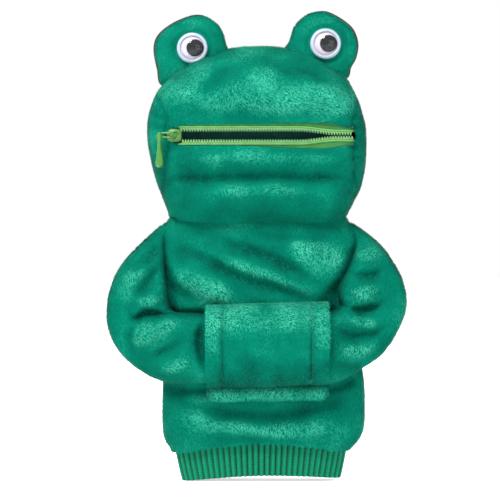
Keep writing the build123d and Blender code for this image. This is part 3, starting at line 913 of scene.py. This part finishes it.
def build_pocket():
    x0, x1 = pocket_low[0], pocket_high[0]
    foot = pocket_low[2] + 9.5
    profile = catmull(POCKET_PROFILE, False, 0.9)
    columns = np.linspace(x0 - 0.5, x1 + 1.0, 76)
    rows, painted_lights = [], []
    for out, up in profile:
        share = np.clip(up / 46.0, 0, 1)
        row = []
        for x in columns:
            t = (x - x0) / (x1 - x0)
            lean = 1.8 * t * share + 2.2 * t * (1 - share)
            crown = 1.0 * math.sin(math.pi * t)
            edge = min(t, 1 - t)
            hem = 0.6 * math.exp(-((edge - 0.055) / 0.05) ** 2) - 1.8 * math.exp(-((edge - HEM) / 0.014) ** 2)
            sag = 1.1 * noise.noise(Vector((x / 11.0, up / 13.0, 3.3)))
            sag += 0.5 * noise.noise(Vector((x / 5.0, up / 5.0, 1.3)))
            forward = out * (1 - 0.06 * (1 - t)) + (hem + sag + crown * 0.6) * min(1.0, out / 6.0)
            row.append((x - 0.9 * (share - 0.5) * (1 - t), -14.6 - forward, foot + up + lean))
            # painted light: the hem's ridge and the sag's bulges are painted paler and their dips darker, and
            # the band is painted paler at its top and darker towards its foot, as light from above falls
            painted_lights.append(0.7 * hem + 1.2 * sag + 4.4 * (share - 0.52))
        rows.append(row)
    outer = strip_mesh(rows[::-1])
    outer.painted_light = np.array(painted_lights).reshape(len(rows), len(columns))[::-1].ravel()
    made = plush("pocket", outer, nap_down(0.5, 0.5, 21.0), 71)
    thicken(made[0], 1.8, -1.0)
    go_with(made, "torso")
    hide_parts("pocket_band")
    stitches = []
    for column in (round(HEM * (len(columns) - 1)), round((1 - HEM) * (len(columns) - 1))):
        line = catmull([row[column] for row in rows], False, 0.4)
        line[:, 1] -= 0.25
        for k in range(6, len(line) - 8, 7):
            stitches.append(tube(line[k:k + 5], 0.3 * np.array([0.5, 1, 1, 1, 0.5]), 6))
    thread = dress(mesh_of("pocket_stitches", joined(stitches)), THREAD, "plush", "torso")

    fold = []
    for k in range(13):
        turn = math.pi * k / 12
        row = []
        for x in np.linspace(x0 - 0.2, x1 + 1.8, 66):
            t = (x - x0) / (x1 - x0)
            end = min(1.0, max(0.0, min(t + 0.003, 1.027 - t)) / 0.05) ** 0.5
            base = foot - 3.4 + 0.9 * t
            half = (5.2 + 0.6 * noise.noise(Vector((x / 9.0, 4.4, 0)))) * (0.35 + 0.65 * end)
            out = 4.4 + 1.6 * math.sin(turn) * (1 + 0.3 * noise.noise(Vector((x / 6.0, 9.1, 0))))
            row.append((x, -14.4 - out * end * math.sin(turn) ** 0.6, base + half * math.cos(turn)))
        fold.append(row)
    strip = strip_mesh(fold[::-1])
    # painted light: the roll is painted paler across its middle, where it turns up to the light, and darker
    # along its top and bottom edges
    strip.painted_light = np.repeat(3.2 * np.sin(np.linspace(0, math.pi, 13)) - 1.2, 66)
    made = plush("pocket_fold", strip, nap_down(0.5, 0.2, 23.0), 73)
    go_with(made, "torso")


# ================================================================ cuff
CUFF_RIBS = 64
CUFF_ROWS = 26
CURL_ROWS = 8               # rows in the rolled edge at the foot


def build_cuff():
    """A knitted band: round ribs all the way round, drawn in at the foot and rolled at its edge."""
    steps = CUFF_RIBS * 14
    around = np.linspace(0, 2 * math.pi, steps, endpoint=False)
    fine = np.linspace(0, 2 * math.pi, 4000)

    def ring(t, half_x, half_y):
        c, s = math.cos(t), math.sin(t)
        return (half_x * math.copysign(abs(c) ** 0.62, c), half_y * math.copysign(abs(s) ** 0.75, s))

    curve = np.array([ring(t, 47.5, 11.0) for t in fine])
    length = np.r_[0, np.cumsum(np.linalg.norm(np.diff(curve, axis=0), axis=1))]
    even = np.interp(np.linspace(0, length[-1], steps, endpoint=False), length, fine)
    rows, tones = [], []
    for r in range(CUFF_ROWS + CURL_ROWS + 1):
        v = min(1.0, r / CUFF_ROWS)
        curl = max(0, r - CUFF_ROWS)
        row = []
        for k, t in enumerate(even):
            phase = k / steps * CUFF_RIBS * 2 * math.pi
            rib = abs(math.cos(phase / 2)) ** 0.45
            half_x = 46.2 + 3.6 * (1 - v) ** 0.9
            x, y = ring(t, half_x, 9.8 + 0.9 * (1 - v))
            away = math.hypot(x / 2, y)
            out = 1.1 * (rib - 0.5)
            turn = math.pi * curl / CURL_ROWS
            inward, drop = 1.1 * (1 - math.cos(turn)), -0.9 * math.sin(turn)
            up = 2.6 * max(0, curl - 4) / 4
            x += (out - inward) * (x / 2) / away
            y += (out - inward) * y / away
            side = x / 47.0
            top = CUFF_TOP + 5.4 - 5.6 * side * side
            foot = 3.0 * (1 - side * side) * (1 if y < 0 else 0.7) + 0.9 + 0.9 * side
            foot += 0.45 * (1 - rib)
            z = top + (foot - top) * v + drop + up
            lean = -1.2 * (1 - v) * max(0.0, -side)
            row.append((x + 1.5 + lean * 0.6, y, z))
            # painted shade: the tone falls from each rib's crest into the groove beside it
            tones.append(rib ** 2.4)
        rows.append(row + [row[0]])
    high, wide = len(rows), len(rows[0])
    tone = np.array(tones).reshape(high, wide - 1)
    tone = np.hstack([tone, tone[:, :1]]).ravel()
    cuff = dress(mesh_of("cuff_rib_knit", strip_mesh(rows), tone), KNIT, "rib_knit", "torso", "rib_cuff")
    weld(cuff)


# ================================================================ ears and eyes
EAR_OUTLINE = {      # from the eye's centre
    "left": [(-16.5, -22), (-20, -12), (-22, 0), (-19.4, 8.2), (-10.8, 15.2), (0.6, 19.8), (7.6, 19.4),
             (14.4, 15.2), (17.9, 9.8), (19.9, 2.5), (23, -3.5), (25, -9), (20, -16), (4, -22)],
    "right": [(-25, -6), (-21, 2.5), (-18, 11), (-12.2, 17), (-6.6, 19.4), (0.6, 19.4), (10, 14.4), (16, 8.6),
              (18.6, 0.4), (17.4, -7.8), (14.3, -13.7), (12, -20), (0, -24), (-16, -16)]}
EYE_SPOT = [(0.0, 0.0), (0.1, 0.1)]      # the eye's middle, as a very short line
EAR_CREASE = {
    "left": ([(-16, 4), (-10, 10.5), (-1, 14), (8, 13.5)], 1.2, -0.7),
    "right": ([(4, 12.5), (10, 7.5), (12.6, -1), (11.5, -8)], 0.9, -1.0)}


def build_ear(side):
    sign = SIGN[side]
    eye = EYE[side]
    origin = np.array([eye[0], eye[2]])
    outline = np.array(EAR_OUTLINE[side], float) + origin
    if area_of(outline) < 0:
        outline = outline[::-1]
    front_low, _ = box_mm(f"{side}_ear_front")
    back_low, _ = box_mm(f"{side}_ear_back")
    seam_y = back_low[1] - 0.2

    def front(points):
        p = points - origin
        gap, _ = distance_to(p, EYE_SPOT)
        # a dip in a ring round the eye, which with the pile's painted fold shade also paints a shadow ring on
        # the plush round it
        beside_eye = -0.9 * np.exp(-((gap - 10.5) / 1.6) ** 2)
        relief = beside_eye + stroke(p, *EAR_CREASE[side]) + 0.5 * lumps(points, 9.0, 15 + sign)
        return np.full(len(points), seam_y - front_low[1] + 0.2), relief

    def flat(height, bumps=0.0):
        return lambda p: (np.full(len(p), height), bumps * lumps(p, 6.0, 17 + sign))

    def seam(back):
        return lambda p: np.full(len(p), seam_y + back)

    work = pad(outline, seam(0.0), front, flat(0.9), 5.0, 1.2)
    seed = 81 if side == "left" else 91
    made = plush(f"{side}_ear_plush", work.part("front"), nap_down(0.5, sign * 0.5, seed), seed, 1.15, 0.85)
    shift = np.array([sign * 1.3, 0.9])         # the backing shows past the plush, outwards and upwards
    felt_work = pad(outline + shift, seam(1.2), flat(0.9), flat(0.9, 0.2), 1.2, 1.4)
    felt = mesh_of(f"{side}_ear_felt", felt_work, np.full(len(felt_work.corners), 0.2))
    dress(felt, FELT, "dark_felt")
    bend_with(made + [felt])
    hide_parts(f"{side}_ear_front", f"{side}_ear_wadding")
    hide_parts(f"{side}_ear_back")


def outward(work):
    """Turns the faces of a rounded piece so that they look away from its middle."""
    arm = work.corners - work.corners.mean(axis=0)
    a, b, c = (arm[work.triangles[:, k]] for k in range(3))
    if np.sum(np.cross(a, b) * c) < 0:
        work.triangles = work.triangles[:, ::-1]
    return work


def lathe(profile, segments, centre):
    """Turns a profile of (radius, y) points round the Y axis at a centre."""
    turns = [2 * math.pi * k / segments for k in range(segments + 1)]
    return outward(strip_mesh([
        [(centre[0] + radius * math.cos(turn), y, centre[2] + radius * math.sin(turn)) for turn in turns]
        for radius, y in profile]))


def turned(name, profile, centre, material, slot_name, body, *stands_for):
    """A piece turned round an axis along Y."""
    piece = dress(mesh_of(name, lathe(profile, 72, centre)), material, slot_name, body, *stands_for)
    weld(piece)


def build_eye(side):
    eye_low, eye_high = box_mm(f"{side}_eye_back")
    dome_low, _ = box_mm(f"{side}_eye_dome")
    pupil_low, pupil_high = box_mm(f"{side}_pupil")
    ear = f"{side}_ear"
    centre = (eye_low + eye_high) / 2
    radius = (eye_high[0] - eye_low[0]) / 2
    front, rear = eye_low[1], eye_high[1]
    disc = [(0.0, front - 0.1), (radius * 0.4, front - 0.12), (radius * 0.79, front - 0.16),
            (radius * 0.8, rear - 0.3), (0.0, rear - 0.3)]
    turned(f"{side}_eye_white", disc, centre, EYE_WHITE, "eye_disc", ear, f"{side}_eye_back")
    rim = [(0.76, rear), (0.765, front - 0.1), (0.775, front - 0.62), (0.81, front - 0.86),
           (0.87, front - 0.84), (0.94, front - 0.56), (0.985, front - 0.1), (1.0, front + 0.4),
           (0.985, rear - 0.12), (0.94, rear), (0.76, rear)]
    turned(f"{side}_eye_rim", [(radius * share, y) for share, y in rim], centre, EYE_RIM, "eye_disc", ear)
    rise = front - dome_low[1]
    inner = radius * 0.8
    dome = [(inner * math.sin(a), front - 0.6 - (rise - 0.6) * math.cos(a))
            for a in np.linspace(0, math.pi / 2, 18)]
    dome += [(radius * 0.93, front - 0.55), (radius * 0.97, front - 0.25)]
    turned(f"{side}_eye_clear", dome, centre, CLEAR, "eye_clear", ear, f"{side}_eye_dome")
    r, face = (pupil_high[0] - pupil_low[0]) / 2, pupil_low[1]
    black = [(0.0, face - 0.25), (r * 0.5, face - 0.2), (r * 0.85, face - 0.05), (r * 0.97, face + 0.15),
             (r, face + 0.45), (r * 0.97, pupil_high[1] - 0.1), (0.0, pupil_high[1])]
    turned(f"{side}_eye_black", black, (pupil_low + pupil_high) / 2, PUPIL, "pupil_black", f"{side}_pupil",
           f"{side}_pupil")


# ================================================================ zip and mouth
CLOSED, OPENING = 1.25, 2.05            # the coil's middle from the zip's line: closed, and how far it opens
ZIP_END_X = 54.2
LIP_SHUT_X, LIP_OPEN_X = 45.0, 23.0     # the opening closes up between these places at its right end
COIL_PITCH = 1.57


def row_offset(x):
    """How far the middle of a coil row is from the middle of the zip."""
    return CLOSED + OPENING * smoothstep(np.asarray(x, float), LIP_SHUT_X, LIP_OPEN_X)


def zip_back(x):
    """How far the zip lies back from its middle as it follows the face round at its ends."""
    x = np.asarray(x, float)
    room = np.where(x > 0, 62.8 - x, 65.2 + x)
    return 22.6 * (1 - rounded(room, HEAD_REACH))


def tube(path, radius, sides=8):
    """A round tube along a path, with closed ends."""
    path = np.array(path, float)
    tangent = np.gradient(path, axis=0)
    tangent /= np.linalg.norm(tangent, axis=1)[:, None]
    up = np.cross(tangent, [0.0, 1.0, 0.0])
    weak = np.linalg.norm(up, axis=1) < 1e-3
    up[weak] = [0, 0, 1]
    up /= np.linalg.norm(up, axis=1)[:, None]
    side = np.cross(tangent, up)
    radius = np.broadcast_to(radius, (len(path),))
    rows = [path + radius[:, None] * (math.cos(a) * up + math.sin(a) * side)
            for a in np.linspace(0, 2 * math.pi, sides + 1)]
    return outward(strip_mesh(rows))


def joined(works):
    corners, triangles, start = [], [], 0
    for work in works:
        corners.append(work.corners)
        triangles.append(work.triangles + start)
        start += len(work.corners)
    triangles = np.vstack(triangles)
    return Sheetwork(np.vstack(corners), triangles, np.array(["front"] * len(triangles), object))


def build_zip():
    for name, way, body in (("upper", 1.0, "upper_lip"), ("lower", -1.0, "lower_lip")):
        x0, x1 = coil_low[0] - 1.6, ZIP_END_X
        turns = int((x1 - x0) / COIL_PITCH)
        t = np.linspace(0, turns, turns * 14)
        shift = 0.0 if way > 0 else 0.5
        loop = t + shift * 0.9 + 0.95 * np.sin(2 * math.pi * t) / (2 * math.pi)
        x = x0 + loop * (x1 - x0) / (turns + 0.5)
        mid = ZIP_Z + way * row_offset(x)
        coil = np.column_stack([x, zip_back(x) + coil_low[1] + 0.75 - 0.62 * np.sin(2 * math.pi * t) * way,
                                mid + way * 0.86 * np.cos(2 * math.pi * t)])
        teeth = dress(mesh_of(f"{name}_zip_teeth", tube(coil, 0.27, 7)), COIL, "zip_coil")

        xs = np.arange(x0 - 1.0, x1 + 1.0, 0.7)
        cord_z = ZIP_Z + way * (row_offset(xs) + 1.55)
        cord = np.column_stack([xs, zip_back(xs) + coil_low[1] + 0.75, cord_z])
        cord_work = tube(cord, 0.5 + 0.06 * np.sin(xs * 2.4), 8)
        cord_piece = dress(mesh_of(f"{name}_zip_cord", cord_work), CORD, "zip_tape")

        xs = np.arange(x0 - 3.5, x1 - 0.2, 0.5)
        rows = []
        for k in range(25):
            out = -0.1 + 10.2 * k / 24
            ridge = 0.09 * np.cos(xs * 2 * math.pi / 1.9 + k * 0.55)
            lump = 0.28 * math.exp(-((k - 5.5) / 1.0) ** 2)
            out *= 1 - 0.72 * smoothstep(xs, 43, 53)
            rows.append(np.column_stack([xs, zip_back(xs) + tape_low[1] - 0.25 - ridge - lump + 0.06 * out,
                                         ZIP_Z + way * (row_offset(xs) + 1.0 + out)]))
        tape = mesh_of(f"{name}_zip_tape", strip_mesh(rows if way < 0 else rows[::-1]))
        thicken(dress(tape, TAPE, "zip_tape"), 0.7, -1.0)
        bend_with([teeth, cord_piece, tape])
        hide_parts(f"zip_coil_{name}")
        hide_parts(f"zip_tape_{name}")


def build_mouth():
    """The cloth pouch behind the zip, with soft upright folds."""
    rows = []
    half = (lining_high[2] - lining_low[2]) / 2 - 1.0
    deep = lining_high[1] - tape_high[1] - 1.2
    for k in range(31):
        turn = math.pi * k / 30
        row = []
        for x in np.linspace(lining_low[0] + 1.5, lining_high[0] - 1.5, 110):
            end = min(1.0, (54.0 - abs(x)) / 10.0) ** 0.5 if abs(x) < 54 else 0.0
            fold = 0.9 * noise.noise(Vector((x / 6.0, turn * 0.7, 2.0)))
            fold -= 1.6 * math.exp(-((x - 9) / 1.6) ** 2)
            y = tape_high[1] + 0.3 + (deep * end + fold) * math.sin(turn) ** 0.8
            row.append((x, y, ZIP_Z + half * math.cos(turn)))
        rows.append(row)
    pouch = dress(mesh_of("mouth_pouch", strip_mesh(rows)), LINING, "lining", "head", "mouth_lining")
    thicken(pouch, 0.8, 1.0)


def moulded(name, outline, y_back, thick, reach, spacing=0.45):
    """A small moulded part: an outline with rounded edges and a crowned front."""
    def stands(share):
        return lambda p: (np.full(len(p), thick * share), np.zeros(len(p)))

    def middle(points):
        return np.full(len(points), y_back - thick * 0.3)

    return mesh_of(name, pad(outline, middle, stands(0.7), stands(0.3), reach, spacing, rounds=1))


def ring_work(centre, radius, thick, first, last, y):
    """A round bar bent into part of a ring that faces forward."""
    turn = np.radians(np.linspace(first, last, 40))
    across, up = radius * np.cos(turn), radius * np.sin(turn)
    path = np.column_stack([centre[0] + across, np.full(40, y), centre[1] + up])
    ends = np.clip(np.minimum(np.arange(40), 39 - np.arange(40)) / 2.0, 0.35, 1.0)
    return tube(path, thick * ends, 10)


def build_slider():
    low, high = slider_low, slider_high
    mid = (low + high) / 2
    half = (high - low) / 2
    plate = np.array([(-1, 0), (-0.9, 0.62), (-0.45, 0.98), (0.3, 1), (0.86, 0.82), (1, 0.45), (1, -0.45),
                      (0.86, -0.82), (0.3, -1), (-0.45, -0.98), (-0.9, -0.62)])
    span, spot = [half[0], half[2]], [mid[0], mid[2]]
    body = moulded("slider_plate", plate * span + spot, low[1] + 2.2, 2.0, 1.0)
    back = moulded("slider_back_plate", plate * span * 0.94 + spot, high[1], 1.2, 0.8, 0.6)
    wedge = np.array([(-0.7, 0), (-0.5, 0.35), (0.1, 0.3), (0.3, 0), (0.1, -0.3), (-0.5, -0.35)])
    neck = moulded("slider_neck", wedge * span + spot, high[1] - 0.6, high[1] - low[1] - 2.0, 0.4, 0.6)
    ring = ring_work((mid[0] + 0.6, mid[2]), 2.35, 0.62, 20, 340, low[1] + 0.1)
    crown_low, crown_high = box_mm("zip_slider_crown")
    bump = lathe([(0.0, low[1] - 0.9), (0.6, low[1] - 0.85), (1.0, low[1] - 0.5), (1.15, low[1] + 0.4)], 24,
                 (mid[0] + 0.4, 0, mid[2]))
    bridge = [(crown_low[0] - 0.3, crown_high[1]), (crown_low[0] + 0.1, crown_low[1] + 0.5),
              (mid[0] - 1.2, crown_low[1] + 0.3), (mid[0] + 0.6, low[1] - 0.2)]
    bar = tube(catmull([(x, y, mid[2]) for x, y in bridge], False, 0.3), 0.62, 10)
    crown = mesh_of("slider_crown", joined([ring, bump, bar]))
    for piece in (body, back, neck, crown):
        dress(piece, METAL, "zip_metal", "zip_slider")
    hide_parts("zip_slider_body")
    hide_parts("zip_slider_crown")


def build_pull():
    """The wire link and the moulded tab that hangs from it."""
    low, high = box_mm("zip_pull_link")
    mid = (low + high) / 2
    half = (high - low) / 2 - 0.5
    turn = np.linspace(0, 2 * math.pi, 49)
    loop = np.column_stack([
        mid[0] + half[0] * np.sign(np.cos(turn)) * np.abs(np.cos(turn)) ** 0.6, np.full(49, mid[1]),
        mid[2] + half[2] * np.sign(np.sin(turn)) * np.abs(np.sin(turn)) ** 0.8])
    dress(mesh_of("pull_link", tube(loop, 0.5, 10)), METAL, "zip_metal", "pull_link", "zip_pull_link")

    low, high = tab_low, tab_high
    mid_x, width, tall = (low[0] + high[0]) / 2, high[0] - low[0], high[2] - low[2]
    right = np.array([(0.0, 1.02), (0.26, 1.0), (0.3, 0.88), (0.24, 0.74), (0.3, 0.5), (0.42, 0.26),
                      (0.5, 0.13), (0.42, 0.03), (0.2, -0.01)])
    outline = np.vstack([right, right[:0:-1] * [-1, 1]])
    outline = np.roll(outline, 1, axis=0)[::-1] * [width, tall] + [mid_x, low[2]]
    tab = moulded("pull_tab_body", outline, high[1], high[1] - low[1] + 0.5, 0.9)
    rib_line = [(mid_x, low[1] - 0.35, low[2] + 2.0), (mid_x, low[1] - 0.35, low[2] + tall * 0.72)]
    dress(tab, TAB, "pull_tab", "pull_tab", "zip_pull_tab")
    dress(mesh_of("pull_tab_rib", tube(catmull(rib_line, False, 0.5), 0.42, 8)), TAB, "pull_tab", "pull_tab")


# ================================================================ light, floor and camera
def build_stage():
    floor_mesh = bpy.data.meshes.new("floor")
    size = 6.0
    floor_mesh.from_pydata([(-size, -size, -0.0005), (size, -size, -0.0005), (size, size, -0.0005),
                            (-size, size, -0.0005)], [], [(0, 1, 2, 3)])
    floor = bpy.data.objects.new("floor", floor_mesh)
    bpy.context.scene.collection.objects.link(floor)
    m = Nodes("floor_paper")
    m.link(m.ramp(m.noise(6.0, 2.0), [(0.3, linear(246, 246, 246)), (0.7, linear(250, 250, 250))]),
           m.shader.inputs["Base Color"])
    m.set(Roughness=0.9, Emission_Strength=0.6)
    m.shader.inputs["Emission Color"].default_value = (1, 1, 1, 1)
    floor.data.materials.append(m.material)

    world = bpy.data.worlds.new("studio")
    bpy.context.scene.world = world
    world.use_nodes = True
    world.node_tree.nodes["Background"].inputs["Color"].default_value = (1, 1, 1, 1)
    world.node_tree.nodes["Background"].inputs["Strength"].default_value = 1.0

    for name, place, size, power in (
            ("key", (-0.30, -0.55, 0.95), 0.45, 24.0), ("fill", (0.8, -0.9, 0.25), 0.9, 5.0),
            ("rim", (0.1, 0.9, 0.7), 0.6, 8.0)):
        lamp = bpy.data.lights.new(name, "AREA")
        lamp.energy = power
        lamp.size = size
        holder = bpy.data.objects.new(name, lamp)
        bpy.context.scene.collection.objects.link(holder)
        holder.location = place
        aim = Vector((0, 0, 0.14)) - Vector(place)
        holder.rotation_euler = aim.to_track_quat("-Z", "Y").to_euler()

    camera = bpy.data.cameras.new("camera")
    camera.sensor_width = 36.0
    camera.lens = 110.0
    camera.clip_start = 0.01
    holder = bpy.data.objects.new("camera", camera)
    bpy.context.scene.collection.objects.link(holder)
    view_width = 0.290
    near = 0.012
    distance = view_width * camera.lens / camera.sensor_width
    holder.location = (-0.0052, -near - distance, 0.1346)
    holder.rotation_euler = (math.pi / 2, 0, 0)
    bpy.context.scene.camera = holder
    bpy.context.scene.view_settings.view_transform = "Standard"
    bpy.context.scene.view_settings.look = "None"


build_stage()
build_head()
build_torso()
for side in ("left", "right"):
    build_arm(side)
build_pocket()
build_cuff()
for side in ("left", "right"):
    build_ear(side)
for side in ("left", "right"):
    build_eye(side)
build_zip()
build_mouth()
build_slider()
build_pull()
